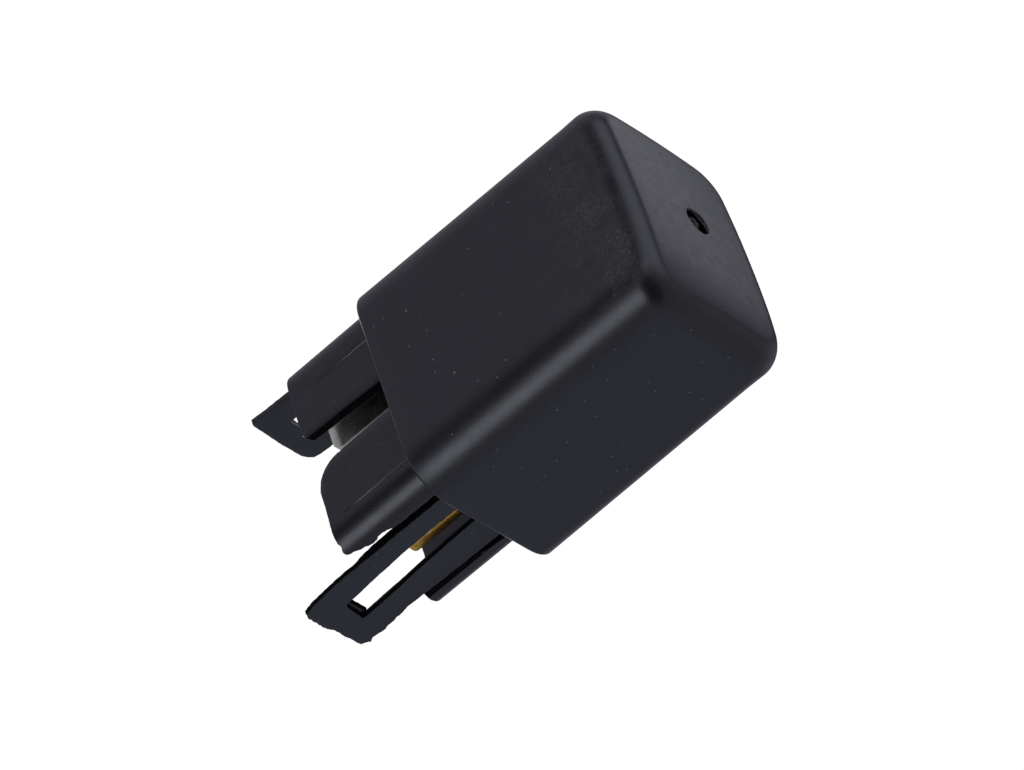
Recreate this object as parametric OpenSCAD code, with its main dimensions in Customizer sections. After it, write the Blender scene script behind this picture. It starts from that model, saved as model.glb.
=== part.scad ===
// Plug-in automotive relay: a drafted cover snapped over a base with four blade
// terminals, a slotted connector shroud and two latch loops, and inside it a hinged
// armature relay. +Z runs up through the cover's closed top, and the terminals point
// down. The origin is the centre of the cover's rim, where the socket's lip stops it.

/* [Cover] */
// Width of the cover at its rim, along the blade rows
cover_w = 26; // [26:0.1:30]
// Depth of the cover at its rim, across the blade rows
cover_d = 20.2; // [20.2:0.1:24]
// Height from the rim to the edge of the closed top
cover_h = 29.75; // [29.7:0.05:36]
// Rise of the top's crown at its centre
crown = 0.4; // [0.2:0.05:0.8]
// Radius of the four upright corners at the rim
corner_r = 4.5; // [4.2:0.1:5]
// Radius of the edge between the sides and the top
top_r = 2.7; // [1.5:0.1:3]
// Wall thickness of the cover
wall = 1.25; // [1:0.05:1.3]
// Draft of the sides, in degrees
draft = 0.46; // [0.2:0.02:0.6]
// Diameter of the round gate recess in the top
gate_d = 2.9; // [2:0.1:4]
// Depth of the gate recess
gate_depth = 0.7; // [0.3:0.1:0.9]

/* [Shroud and latch loops] */
// Half width of the shroud
shroud_hw = 11.6; // [11.4:0.05:11.6]
// Depth of the shroud
shroud_d = 14.95; // [14.8:0.05:15.05]
// Wall thickness of the shroud
shroud_wall = 1.05; // [0.9:0.05:1.2]
// How far the shroud reaches below the rim
shroud_len = 10.45; // [10.2:0.05:12]
// Radius of the shroud's upright corners
shroud_r = 3; // [2.5:0.1:3.5]
// Width of each latch loop
loop_w = 8.4; // [7.6:0.1:8.6]
// Width of the window in a latch loop
window_w = 2.85; // [2.4:0.05:3.4]
// Thickness of a latch loop's arms
loop_t = 0.6; // [0.5:0.05:0.8]
// How far the loop on the +X side reaches below the rim
loop_len_a = 18.2; // [16:0.1:20]
// How far the loop on the -X side reaches below the rim
loop_len_b = 17.25; // [16:0.05:20]
// How far the loop on the -X side leans outwards, in degrees
loop_lean = 1.35; // [0:0.05:1.5]
// How far the pads on the shroud's front walls stand proud
pad_t = 0.15; // [0.1:0.05:0.2]
// Height of the bar that closes a loop's window
loop_bar = 2.5; // [2:0.1:3]

/* [Terminals] */
// Thickness of every blade
blade_t = 0.8; // [0.8:0.1:0.8]
// Width of the two contact blades
blade_wide = 6.3; // [6.3:0.1:6.3]
// Width of the two coil blades
blade_narrow = 2.8; // [2.8:0.1:2.8]
// Distance between the two columns of blades
column_pitch = 9.75; // [9.65:0.05:10.4]
// Distance between the two rows of blades
row_pitch = 7.8; // [7.8:0.1:8]
// How far the contact blades reach below the rim
blade_len = 9.5; // [8.5:0.1:9.9]
// How far the coil blades reach below the rim
coil_blade_len = 9.9; // [8.5:0.1:9.9]

/* [Relay] */
// Angle between the open and the closed armature, in degrees
armature_travel = 2.4; // [1.8:0.1:2.4]
// Radius of the coil winding
coil_r = 5.8; // [4.8:0.1:5.8]
// Thickness of the leaf spring
spring_t = 0.2; // [0.15:0.05:0.2]

/* [Hidden] */
$fn = 48;
e = 0.01;
hw = cover_w / 2;
hd = cover_d / 2;
// the gate sits a little off the middle of the top
gate_x = -0.9;
gate_y = 0.85;
taper = tan(draft);
// centre of the shroud and of the blade layout, which sits off the cover's centre
sy = -1.125;
loop_y = -1.25;
window_y = -1.35;
y_front = -5.25;
y_back = y_front + row_pitch;
x_coil = 5.2;
x_con = x_coil - column_pitch;
plate_z0 = 0.35;
plate_z1 = 2.6;
gap = 0.03;
// relay motor: coil axis, yoke and hinge line
coil_x = 2;
yoke_w = 7.8;
yoke_t = 1.5;
foot_z = 3.6;
yoke_in = 8.9;
yoke_out = yoke_in + yoke_t;
yoke_top = 24;
hinge_x = 10.2;
contact_x = -6.8;
arm_t = 1.4;

// upright section of a drafted wall with a rounded top edge, from the axis outwards
function wall_line(half, h, fr) = let(x1 = half - (h - fr) * taper)
  concat([[half, 0]], [for (i = [0:8]) let(a = 90 * i / 8) [x1 - fr + fr * cos(a), h - fr + fr * sin(a)]]);
function mirrored(p) = [for (i = [len(p) - 1:-1:0]) [-p[i][0], p[i][1]]];

// drafted block with round upright corners and a round top edge
module drafted_block(bw, bd, h, r, fr) {
  for (q = [[1, 1, 0], [-1, 1, 90], [-1, -1, 180], [1, -1, 270]])
    translate([q[0] * (bw - r), q[1] * (bd - r), 0]) rotate([0, 0, q[2]])
      rotate_extrude(angle = 90) polygon(concat([[0, 0]], wall_line(r, h, fr), [[0, h]]));
  translate([r - bw, 0, 0]) rotate([90, 0, 90])
    linear_extrude(2 * (bw - r)) polygon(concat(wall_line(bd, h, fr), mirrored(wall_line(bd, h, fr))));
  translate([0, bd - r, 0]) rotate([90, 0, 0])
    linear_extrude(2 * (bd - r)) polygon(concat(wall_line(bw, h, fr), mirrored(wall_line(bw, h, fr))));
}

// upright prism with round corners
module round_prism(bw, bd, z0, z1, r) {
  translate([-bw, r - bd, z0]) cube([2 * bw, 2 * (bd - r), z1 - z0]);
  translate([r - bw, -bd, z0]) cube([2 * (bw - r), 2 * bd, z1 - z0]);
  for (q = [[1, 1, 0], [-1, 1, 90], [-1, -1, 180], [1, -1, 270]])
    translate([q[0] * (bw - r), q[1] * (bd - r), z0]) rotate([0, 0, q[2]])
      rotate_extrude(angle = 90) square([r, z1 - z0]);
}

// box given by its two corners
module block(a, b) { translate(a) cube(b - a); }

// four snap lugs on the long sides, a little larger where they are cut out
module snap_lugs(extra) {
  for (s = [-1, 1], x = [-5, 5]) translate([x, s * 8.6, 0]) rotate([90, 0, 90])
    translate([0, 0, -1.5 - extra]) linear_extrude(3 + 2 * extra)
      polygon([[-s * 0.3, 0.9 - extra], [s * (0.15 + extra), 0.9 - extra], [s * (0.55 + extra), 1.2],
        [s * (0.55 + extra), 1.4], [s * (0.15 + extra), 2.2 + extra], [-s * 0.3, 2.2 + extra]]);
}

module cover() color("#1c1b20") {
  top = cover_h + crown;
  ball_r = 140;
  difference() {
    intersection() {
      drafted_block(hw, hd, top, corner_r, top_r);
      translate([0, 0, top - ball_r]) sphere(r = ball_r, $fn = 128);
    }
    translate([0, 0, -e]) drafted_block(hw - wall, hd - wall, cover_h - wall, corner_r - wall, top_r - wall);
    snap_lugs(0.05);
    // gate recess with the torn stub left standing in it
    translate([gate_x, gate_y, top - gate_depth]) difference() {
      cylinder(h = 2, d = gate_d);
      translate([0.1, -0.15, -e]) cylinder(h = gate_depth * 0.7, r1 = 0.8, r2 = 0.55);
    }
  }
}

// front wall cut: one straight edge leaning with the draft, one with a large corner
module shroud_slot() {
  rotate([90, 0, 0]) translate([0, 0, -2]) linear_extrude(4)
    polygon(concat([[1.8, 0], [-1.6, 0]],
      [for (i = [0:4]) let(a = 22.5 * i) [-3.05 + 0.8 * cos(a), -shroud_len + 0.8 - 0.8 * sin(a)]],
      [[-3.05, -shroud_len - 1], [4.8, -shroud_len - 1]],
      [for (i = [0:8]) let(a = 90 - 11.25 * i) [4.8 - 3 * cos(a), -shroud_len + 3 - 3 * sin(a)]]));
}

module latch_loop(len) {
  w = loop_w / 2;
  difference() {
    translate([shroud_hw - loop_t, loop_y, 0]) rotate([90, 0, 90]) linear_extrude(loop_t)
      polygon([[-w, plate_z0 + e], [-w, 0.5 - len], [-w + 0.4, -len], [w - 0.5, -len], [w, 0.6 - len], [w, plate_z0 + e]]);
    block([shroud_hw - 2, window_y - window_w / 2, loop_bar - len], [shroud_hw + 1, window_y + window_w / 2, 1]);
  }
  // the closing bar is thicker than the arms
  block([shroud_hw - 1, window_y - 2, 0.5 - len], [shroud_hw - loop_t + e, window_y + 2, loop_bar - len]);
}

module base() color("#1b1b1f") {
  sd = shroud_d / 2;
  difference() {
    union() {
      // floor plate inside the cover's mouth
      round_prism(11.66, 8.76, plate_z0, plate_z1, 3.1);
      snap_lugs(0);
      // slotted shroud
      difference() {
        union() {
          translate([0, sy, 0]) round_prism(shroud_hw, sd, -shroud_len, plate_z0 + e, shroud_r);
          // low pads on the outside of the front walls
          block([-7, sy - sd - pad_t, -8.7], [-1, sy - sd + 0.2, 0]);
          block([1, sy - sd - pad_t, -9], [8.3, sy - sd + 0.2, 0]);
        }
        translate([0, sy, 0]) round_prism(shroud_hw - shroud_wall, sd - shroud_wall, -shroud_len - 1, plate_z0 - e, shroud_r - shroud_wall);
        translate([0, sy - sd, 0]) shroud_slot();
        block([-20, sy - 5.2, -20], [20, sy + 5.2, -e]);
      }
      // latch loops
      latch_loop(loop_len_a);
      translate([-shroud_hw, 0, 0]) rotate([0, loop_lean, 0]) translate([shroud_hw, 0, 0]) mirror([1, 0, 0]) latch_loop(loop_len_b);
      // ribs that carry the yoke's foot
      block([-1, -3.8, plate_z1 - e], [9.5, -2.9, foot_z]);
      block([7.2, 2.9, plate_z1 - e], [9.5, 3.8, foot_z]);
    }
    // blade slots, the channel of the back coil terminal and the backstop's pocket
    for (s = [-1, 1]) {
      block([x_con - blade_wide / 2 - gap, (s < 0 ? y_front : y_back) - blade_t / 2 - gap, -1],
        [x_con + blade_wide / 2 + gap, (s < 0 ? y_front : y_back) + blade_t / 2 + gap, 5]);
      block([x_coil - blade_narrow / 2 - gap, (s < 0 ? y_front : y_back) - blade_t / 2 - gap, -1],
        [x_coil + blade_narrow / 2 + gap, (s < 0 ? y_front : y_back) + blade_t / 2 + gap, 5]);
    }
    block([x_coil - blade_narrow / 2 - gap, y_back, 1.77], [x_coil + blade_narrow / 2 + gap, 5.63, 5]);
    block([-8.33, 6.17, 1.17], [-5.27, 6.83, 5]);
  }
}

// flat blade below the rim, chamfered at its tip, in the plane of its row
module blade(x, y, w, len, z1, c) {
  translate([x, y + blade_t / 2, 0]) rotate([90, 0, 0]) linear_extrude(blade_t)
    polygon([[-w / 2, z1], [-w / 2, c - len], [-w / 2 + c, -len], [w / 2 - c, -len], [w / 2, c - len], [w / 2, z1]]);
}

module contact_terminal() color("#b9b6a6") difference() {
  union() {
    blade(x_con, y_front, blade_wide, blade_len, 5, 0.9);
    block([-8.3, y_front - 0.4, 4.9], [-5.3, y_front + 0.4, yoke_top]);
    block([-8.3, y_front - 0.4, yoke_top - 0.8], [-5.3, 1.6, yoke_top]);
  }
  translate([contact_x, 0, 20]) cylinder(h = 6, r = 0.8);
}

module common_terminal() color("#b9b6a6") union() {
  blade(x_con, y_back, blade_wide, blade_len, foot_z, 0.9);
  block([x_con - blade_wide / 2, -2, foot_z - 0.8], [x_con + blade_wide / 2, y_back + 0.4, foot_z]);
}

module coil_post(y) {
  block([x_coil - blade_narrow / 2, y - 0.4, 2.7], [9.6, y + 0.4, 4.7]);
  block([8.6, y - 0.4, 2.7], [9.6, y + 0.4, 9]);
}

module coil_terminal_front() color("#b9b6a6") union() {
  blade(x_coil, y_front, blade_narrow, coil_blade_len, 4.7, 0.35);
  coil_post(y_front);
}

module coil_terminal_back() color("#b9b6a6") union() {
  blade(x_coil, y_back, blade_narrow, coil_blade_len, 2.6, 0.35);
  block([x_coil - blade_narrow / 2, y_back - 0.4, 1.8], [x_coil + blade_narrow / 2, 5.6, 2.6]);
  block([x_coil - blade_narrow / 2, 4.8, 1.8], [x_coil + blade_narrow / 2, 5.6, 4.7]);
  coil_post(5.2);
}

module yoke() color("#8d8f92") difference() {
  union() {
    block([-7, -yoke_w / 2, foot_z], [yoke_out, yoke_w / 2, foot_z + yoke_t]);
    block([yoke_in, -yoke_w / 2, foot_z], [yoke_out, yoke_w / 2, yoke_top]);
  }
  translate([coil_x, 0, 0]) cylinder(h = 10, r = 2);
  for (z = [14.5, 18]) translate([5, 0, z]) rotate([0, 90, 0]) cylinder(h = 10, r = 0.8);
}

module core() color("#9a9da1") translate([coil_x, 0, 0]) union() {
  translate([0, 0, foot_z - 0.5]) cylinder(h = 0.5, r = 2.7);
  translate([0, 0, foot_z - e]) cylinder(h = yoke_t + 2 * e, r = 2);
  translate([0, 0, foot_z + yoke_t]) cylinder(h = yoke_top - 1.45 - foot_z - yoke_t + e, r = 2.8);
  translate([0, 0, yoke_top - 1.45]) cylinder(h = 1.4, r = 4.3);
}

module bobbin() color("#d8d3c0") translate([coil_x, 0, 0]) difference() {
  union() {
    translate([0, 0, foot_z + yoke_t + 0.05]) cylinder(h = 0.9, r = 6.4);
    translate([0, 0, foot_z + yoke_t + 0.05]) cylinder(h = 17.35, r = 3.6);
    translate([0, 0, 21.6]) cylinder(h = 0.9, r = 6.4);
  }
  cylinder(h = 30, r = 2.85);
}

module coil_winding() color("#a5562a") translate([coil_x, 0, 6.1]) difference() {
  cylinder(h = 15.45, r = coil_r);
  translate([0, 0, -1]) cylinder(h = 20, r = 3.62);
}

module coil_tape() color("#c9a23a") translate([coil_x, 0, 7.6]) difference() {
  cylinder(h = 13.9, r = coil_r + 0.12);
  translate([0, 0, -1]) cylinder(h = 20, r = coil_r + 0.02);
}

// wire from the winding to its post, ending in two turns round the post
module coil_lead(s, py) {
  a = [coil_x + (coil_r + 0.2) * cos(35), s * (coil_r + 0.2) * sin(35), 6.8];
  b = [8.55, s * (py - 0.68), 8.2];
  d = b - a;
  l = norm(d);
  translate(a) rotate([0, acos(d[2] / l), atan2(d[1], d[0])]) cylinder(h = l, r = 0.17, $fn = 24);
  for (z = [8.2, 8.55]) translate([9.1, s * py, z]) rotate_extrude($fn = 32) translate([0.84, 0]) circle(r = 0.17, $fn = 16);
}
module coil_lead_front() color("#b0602f") coil_lead(-1, -y_front);
module coil_lead_back() color("#b0602f") coil_lead(1, 5.2);

// upright strip in the base whose folded end stops the opening armature
module backstop() color("#b9975a") union() {
  block([-8.3, 6.2, 1.2], [-5.3, 6.8, 27.4]);
  block([-8.3, -1.5, 26.8], [-5.3, 6.8, 27.4]);
}

module fixed_contact() color("#cfd0cc") translate([contact_x, 0, 0]) union() {
  translate([0, 0, yoke_top]) cylinder(h = 0.7, r = 1.5);
  translate([0, 0, yoke_top - 0.8 - e]) cylinder(h = 0.8 + 2 * e, r = 0.8);
  translate([0, 0, yoke_top - 1.1]) cylinder(h = 0.3, r = 1.1);
}

module yoke_rivets() color("#a9abad") for (z = [14.5, 18]) translate([yoke_in, 0, z]) rotate([0, 90, 0]) union() {
  cylinder(h = yoke_t + spring_t + e, r = 0.8);
  translate([0, 0, yoke_t + spring_t]) cylinder(h = 0.4, r = 1.3);
}

// what turns with the armature is drawn closed and then opened about the hinge line
module opened() translate([hinge_x, 0, yoke_top]) rotate([0, armature_travel, 0]) translate([-hinge_x, 0, -yoke_top]) children();

arm_z = yoke_top + 0.05;
module armature() color("#8f9194") opened() difference() {
  translate([0, 4.4, 0]) rotate([90, 0, 0]) linear_extrude(8.8)
    polygon([[-4.9, arm_z], [hinge_x, arm_z], [hinge_x, arm_z + 0.45], [9.2, arm_z + arm_t], [-4.9, arm_z + arm_t]]);
  for (y = [-2.1, 2.1]) translate([-3.2, y, 20]) cylinder(h = 8, r = 0.8);
}

// leaf spring: up the outside of the yoke, round the hinge and along the armature
bend_r = 1.1;
mid_z = arm_z + arm_t + spring_t / 2;
mid_x = yoke_out + spring_t / 2;
q0 = [hinge_x + (mid_z - yoke_top) * sin(armature_travel), yoke_top + (mid_z - yoke_top) * cos(armature_travel)];
bend_z = q0[1] - (bend_r - (q0[0] - mid_x + bend_r) * sin(armature_travel)) / cos(armature_travel);
far_x = -8.4;
function spring_line(off) = let(r = bend_r + off, c = [mid_x - bend_r, bend_z], last = 90 - armature_travel,
    from = c + [r * cos(last), r * sin(last)], run = (from[0] - far_x) / cos(armature_travel))
  concat([[mid_x + off, 12.6]], [for (i = [0:10]) let(a = last * i / 10) c + [r * cos(a), r * sin(a)]],
    [from + [-run * cos(armature_travel), run * sin(armature_travel)]]);
function reversed(p) = [for (i = [len(p) - 1:-1:0]) p[i]];
module return_spring() color("#c08a4a") difference() {
  translate([0, 3.2, 0]) rotate([90, 0, 0]) linear_extrude(6.4)
    polygon(concat(spring_line(spring_t / 2), reversed(spring_line(-spring_t / 2))));
  for (s = [-1, 1]) block([-20, s > 0 ? 1.8 : -10, 20], [-5, s > 0 ? 10 : -1.8, 30]);
  for (z = [14.5, 18]) translate([8, 0, z]) rotate([0, 90, 0]) cylinder(h = 5, r = 0.8);
  opened() {
    for (y = [-2.1, 2.1]) translate([-3.2, y, 20]) cylinder(h = 8, r = 0.8);
    translate([contact_x, 0, 20]) cylinder(h = 8, r = 0.8);
  }
}

module armature_rivets() color("#a9abad") opened() for (y = [-2.1, 2.1]) translate([-3.2, y, 0]) union() {
  translate([0, 0, arm_z - e]) cylinder(h = arm_t + spring_t + 2 * e, r = 0.8);
  translate([0, 0, arm_z + arm_t + spring_t]) cylinder(h = 0.35, r = 1.2);
  translate([0, 0, arm_z - 0.3]) cylinder(h = 0.3, r = 1.1);
}

module moving_contact() color("#cfd0cc") opened() translate([contact_x, 0, 0]) union() {
  translate([0, 0, arm_z + arm_t - 0.7]) cylinder(h = 0.7, r = 1.5);
  translate([0, 0, arm_z + arm_t - e]) cylinder(h = spring_t + 2 * e, r = 0.8);
  translate([0, 0, arm_z + arm_t + spring_t]) cylinder(h = 0.3, r = 1.1);
}

cover();
base();
contact_terminal();
common_terminal();
coil_terminal_front();
coil_terminal_back();
yoke();
core();
bobbin();
coil_winding();
coil_tape();
coil_lead_front();
coil_lead_back();
backstop();
fixed_contact();
yoke_rivets();
armature();
return_spring();
armature_rivets();
moving_contact();
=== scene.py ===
import bpy, bmesh, math
from mathutils import Vector, Matrix, noise
from mathutils.geometry import tessellate_polygon


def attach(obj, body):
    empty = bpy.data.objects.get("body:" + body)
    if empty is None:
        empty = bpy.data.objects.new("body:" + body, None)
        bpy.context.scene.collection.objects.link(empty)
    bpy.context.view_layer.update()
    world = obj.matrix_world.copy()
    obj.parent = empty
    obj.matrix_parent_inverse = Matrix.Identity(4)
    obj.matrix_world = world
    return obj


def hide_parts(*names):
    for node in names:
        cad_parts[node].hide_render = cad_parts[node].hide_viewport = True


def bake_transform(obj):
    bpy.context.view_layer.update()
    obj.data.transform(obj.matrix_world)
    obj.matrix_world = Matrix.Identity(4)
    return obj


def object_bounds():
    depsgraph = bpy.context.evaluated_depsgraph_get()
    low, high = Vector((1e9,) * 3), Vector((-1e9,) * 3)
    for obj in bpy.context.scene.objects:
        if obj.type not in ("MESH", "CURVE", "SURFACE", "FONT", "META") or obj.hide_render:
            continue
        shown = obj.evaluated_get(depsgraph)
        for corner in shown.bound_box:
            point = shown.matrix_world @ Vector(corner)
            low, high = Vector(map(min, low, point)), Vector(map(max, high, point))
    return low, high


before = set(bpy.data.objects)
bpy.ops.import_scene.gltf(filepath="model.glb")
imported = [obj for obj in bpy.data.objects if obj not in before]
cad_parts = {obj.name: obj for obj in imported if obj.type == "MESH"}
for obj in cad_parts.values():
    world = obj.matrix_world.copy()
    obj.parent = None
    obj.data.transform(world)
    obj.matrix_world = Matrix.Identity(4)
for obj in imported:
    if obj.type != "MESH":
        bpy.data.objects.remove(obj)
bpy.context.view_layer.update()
scene = bpy.context.scene
scene.view_settings.view_transform = "Standard"
scene.view_settings.look = "None"
MM = 0.001

# ---------------------------------------------------------------- camera
cam_data = bpy.data.cameras.new("camera")
cam = bpy.data.objects.new("camera", cam_data)
scene.collection.objects.link(cam)
cam_data.sensor_width = 36.0
cam_data.lens = 202.237
cam_data.clip_start, cam_data.clip_end = 0.01, 20.0
right = Vector((0.2514054, 0.6505349, 0.7166587))
down = Vector((0.7043786, 0.3848512, -0.5964397))
ahead = Vector((-0.6638118, 0.6547472, -0.3614692))
m = Matrix((right, -down, -ahead)).transposed().to_4x4()
m.translation = Vector((345.838, -340.318, 195.027)) * MM
cam.matrix_world = m
scene.camera = cam


# ---------------------------------------------------------------- node helpers
class Tree:
    """Short hand for building a node tree."""

    def __init__(self, tree):
        self.t = tree
        tree.nodes.clear()

    def n(self, kind, props=None, **inputs):
        node = self.t.nodes.new(kind)
        for k, v in (props or {}).items():
            setattr(node, k, v)
        for k, v in inputs.items():
            key = int(k[1:]) if k[0] == "i" and k[1:].isdigit() else k.replace("_", " ")
            self.put(node.inputs[key], v)
        return node

    def put(self, socket, v):
        if isinstance(v, bpy.types.NodeSocket):
            self.t.links.new(v, socket)
        elif isinstance(v, bpy.types.Node):
            self.t.links.new(v.outputs[0], socket)
        else:
            socket.default_value = v

    def math(self, op, a, b=None, c=None, clamp=False):
        node = self.t.nodes.new("ShaderNodeMath")
        node.operation = op
        node.use_clamp = clamp
        for i, v in enumerate((a, b, c)):
            if v is not None:
                self.put(node.inputs[i], v)
        return node.outputs[0]

    def vmath(self, op, a, b=None, c=None, out=0):
        node = self.t.nodes.new("ShaderNodeVectorMath")
        node.operation = op
        for i, v in enumerate((a, b, c)):
            if v is not None:
                self.put(node.inputs[i], v)
        return node.outputs[out]

    def span(self, v, a, b, c=0.0, d=1.0, smooth=True):
        node = self.n("ShaderNodeMapRange", {"interpolation_type": "SMOOTHSTEP" if smooth else "LINEAR"})
        self.put(node.inputs["Value"], v)
        for k, x in (("From Min", a), ("From Max", b), ("To Min", c), ("To Max", d)):
            node.inputs[k].default_value = x
        return node.outputs["Result"]

    def mix(self, fac, a, b, kind="MIX"):
        node = self.n("ShaderNodeMix", {"data_type": "RGBA", "blend_type": kind, "clamp_factor": True})
        self.put(node.inputs[0], fac)
        self.put(node.inputs[6], a)
        self.put(node.inputs[7], b)
        return node.outputs[2]

    def noise(self, vec, scale, detail=3.0, rough=0.5, distortion=0.0, out="Fac"):
        node = self.n("ShaderNodeTexNoise", Vector=vec, Scale=scale, Detail=detail, Roughness=rough, Distortion=distortion)
        return node.outputs[out]


def material(name):
    mat = bpy.data.materials.new(name)
    mat.use_nodes = True
    return mat, Tree(mat.node_tree)


def finish_material(t, colour, rough, normal=None, metallic=0.0, ior=1.45, spec=0.5, coat=0.0, coat_rough=0.1, aniso=0.0):
    b = t.n("ShaderNodeBsdfPrincipled")
    t.put(b.inputs["Base Color"], colour)
    t.put(b.inputs["Roughness"], rough)
    t.put(b.inputs["Metallic"], metallic)
    b.inputs["IOR"].default_value = ior
    b.inputs["Specular IOR Level"].default_value = spec
    b.inputs["Coat Weight"].default_value = coat
    b.inputs["Coat Roughness"].default_value = coat_rough
    b.inputs["Anisotropic"].default_value = aniso
    if normal is not None:
        t.put(b.inputs["Normal"], normal)
    out = t.n("ShaderNodeOutputMaterial")
    t.t.links.new(b.outputs[0], out.inputs["Surface"])


def object_mm(t):
    tc = t.n("ShaderNodeTexCoord")
    node = t.n("ShaderNodeVectorMath", {"operation": "SCALE"})
    t.put(node.inputs[0], tc.outputs["Object"])
    node.inputs["Scale"].default_value = 1000.0
    return node.outputs[0], tc


def bump(t, height, distance_mm, strength=1.0, normal=None):
    b = t.n("ShaderNodeBump", Height=height)
    b.inputs["Distance"].default_value = distance_mm * MM
    b.inputs["Strength"].default_value = strength
    if normal is not None:
        t.put(b.inputs["Normal"], normal)
    return b.outputs["Normal"]


def plastic(name, base=(0.0085, 0.0082, 0.0095), tint=(0.0085, 0.009, 0.011), rough=0.42, dots=(), scuff=False, texture=0.5, ior=1.45, spec=0.5, dusty=1.0):
    mat, t = material(name)
    p, tc = object_mm(t)
    slow = t.noise(p, 0.11, 2.0)
    mid = t.noise(p, 0.9, 4.0, 0.6)
    fine = t.noise(p, 7.0, 3.0, 0.6)
    grain = t.noise(p, 15.0, 2.0, 0.6)
    colour = t.mix(t.span(slow, 0.35, 0.65), (*base, 1), (*tint, 1))
    colour = t.mix(t.span(fine, 0.45, 0.75, 0.0, 0.5), colour, (0.017, 0.017, 0.018, 1))
    r = t.math("ADD", t.span(mid, 0.3, 0.7, rough - 0.02, rough + 0.025), t.span(grain, 0.3, 0.7, -0.015, 0.015))
    # faint handling smears, long along the part
    sm = t.noise(t.vmath("MULTIPLY", p, (0.9, 0.9, 0.12)), 1.1, 4.0, 0.65, 0.4)
    r = t.math("ADD", r, t.span(sm, 0.5, 0.75, 0.0, 0.04))
    # a fine dusting that only shows as uneven grain
    film = t.math("MULTIPLY", t.span(t.noise(p, 0.22, 3.0, 0.6), 0.4, 0.7), t.span(t.noise(p, 5.5, 4.0, 0.7), 0.5, 0.75))
    colour = t.mix(t.math("MULTIPLY", film, 0.5 * dusty, clamp=True), colour, (0.050, 0.049, 0.047, 1))
    colour = t.mix(t.span(t.noise(p, 9.0, 2.0, 0.7), 0.35, 0.75, 0.0, 0.35), colour, (0.022, 0.022, 0.024, 1))
    # specks of dust: a few cells of a cell pattern each hold one small dot
    specks = None
    for scale, radius, share in ((0.85, 0.085, 0.72), (1.5, 0.085, 0.78)):
        v = t.n("ShaderNodeTexVoronoi", {"feature": "F1"}, Vector=p, Scale=scale, Randomness=1.0)
        keep = t.math("GREATER_THAN", t.n("ShaderNodeSeparateColor", Color=v.outputs["Color"]).outputs[0], share)
        dot = t.math("MULTIPLY", keep, t.span(v.outputs["Distance"], radius, radius * 0.35, 0.0, 0.6))
        specks = dot if specks is None else t.math("MAXIMUM", specks, dot)
    for x, y, z, size in dots:
        near = t.vmath("DISTANCE", p, (x, y, z), out=1)
        specks = t.math("MAXIMUM", specks, t.span(near, size, size * 0.45, 0.0, 1.0))
    specks = t.math("MULTIPLY", specks, dusty, clamp=True)
    specks = t.math("MULTIPLY", specks, t.span(t.n("ShaderNodeSeparateXYZ", Vector=p).outputs[2], 29.3, 27.5))
    if scuff:
        # rubbed, slightly olive patches below the top edge of the wide front face
        s = t.n("ShaderNodeSeparateXYZ", Vector=p)
        zone = t.math("MULTIPLY", t.span(s.outputs[2], 18.0, 26.5), t.span(s.outputs[1], -8.9, -9.6))
        zone = t.math("MULTIPLY", zone, t.span(s.outputs[2], 29.6, 28.2))
        zone = t.math("MULTIPLY", zone, t.span(s.outputs[0], -11.0, -4.0, 0.45, 1.0))
        patch = t.math("MULTIPLY", t.span(t.noise(p, 0.34, 3.0, 0.6), 0.36, 0.62), t.span(t.noise(p, 5.6, 6.0, 0.9), 0.46, 0.70))
        worn = t.math("MULTIPLY", zone, patch, clamp=True)
        colour = t.mix(t.math("MULTIPLY", worn, 0.95), colour, (0.125, 0.117, 0.093, 1))
        r = t.math("ADD", r, t.math("MULTIPLY", worn, 0.12))
    colour = t.mix(t.math("MULTIPLY", specks, 0.7), colour, (0.40, 0.39, 0.36, 1))
    r = t.math("ADD", r, t.math("MULTIPLY", specks, 0.3), clamp=True)
    h = t.math("ADD", t.math("MULTIPLY", grain, 0.6), t.math("MULTIPLY", fine, 0.5))
    finish_material(t, colour, r, bump(t, h, 0.012 * texture, 1.0), ior=ior, spec=spec)
    return mat


def torn_plastic_painted_shade(name):
    """Torn edges left where flash broke off, painted as shade: a near-black colour and almost no reflection stand in
    for the shade on cut faces and in recesses.
    """
    mat, t = material(name)
    p, tc = object_mm(t)
    mid = t.noise(p, 2.2, 4.0, 0.65)
    fine = t.noise(p, 11.0, 3.0, 0.7)
    # painted shade: near-black colour, with spec 0.03 below, makes these faces read as shadowed
    colour = t.mix(t.span(mid, 0.4, 0.7), (0.0022, 0.0022, 0.0028, 1), (0.0055, 0.0055, 0.0066, 1))
    colour = t.mix(t.span(fine, 0.6, 0.8, 0.0, 0.5), colour, (0.014, 0.014, 0.015, 1))
    h = t.math("ADD", mid, t.math("MULTIPLY", fine, 0.35))
    finish_material(t, colour, t.span(mid, 0.3, 0.7, 0.55, 0.7), bump(t, h, 0.05), ior=1.45, spec=0.03)
    return mat


def metal(name, colour, dark, rough=0.28, streak=(1.0, 1.0, 0.1), streak_scale=9.0, grain=12.0, metallic=1.0, bump_mm=0.006, stain=0.35):
    mat, t = material(name)
    p, tc = object_mm(t)
    st = t.noise(t.vmath("MULTIPLY", p, streak), streak_scale, 4.0, 0.65)
    fine = t.noise(p, grain, 3.0, 0.6)
    slow = t.noise(p, 0.5, 4.0, 0.6)
    c = t.mix(t.span(slow, 0.42, 0.72, 0.0, stain), (*colour, 1), (*dark, 1))
    c = t.mix(t.span(st, 0.48, 0.7, 0.0, 0.4), c, (*dark, 1))
    r = t.math("ADD", t.span(st, 0.3, 0.7, rough - 0.06, rough + 0.09), t.span(fine, 0.3, 0.7, -0.03, 0.04), clamp=True)
    h = t.math("ADD", st, t.math("MULTIPLY", fine, 0.4))
    finish_material(t, c, r, bump(t, h, bump_mm), metallic=metallic, ior=1.5)
    return mat


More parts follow.
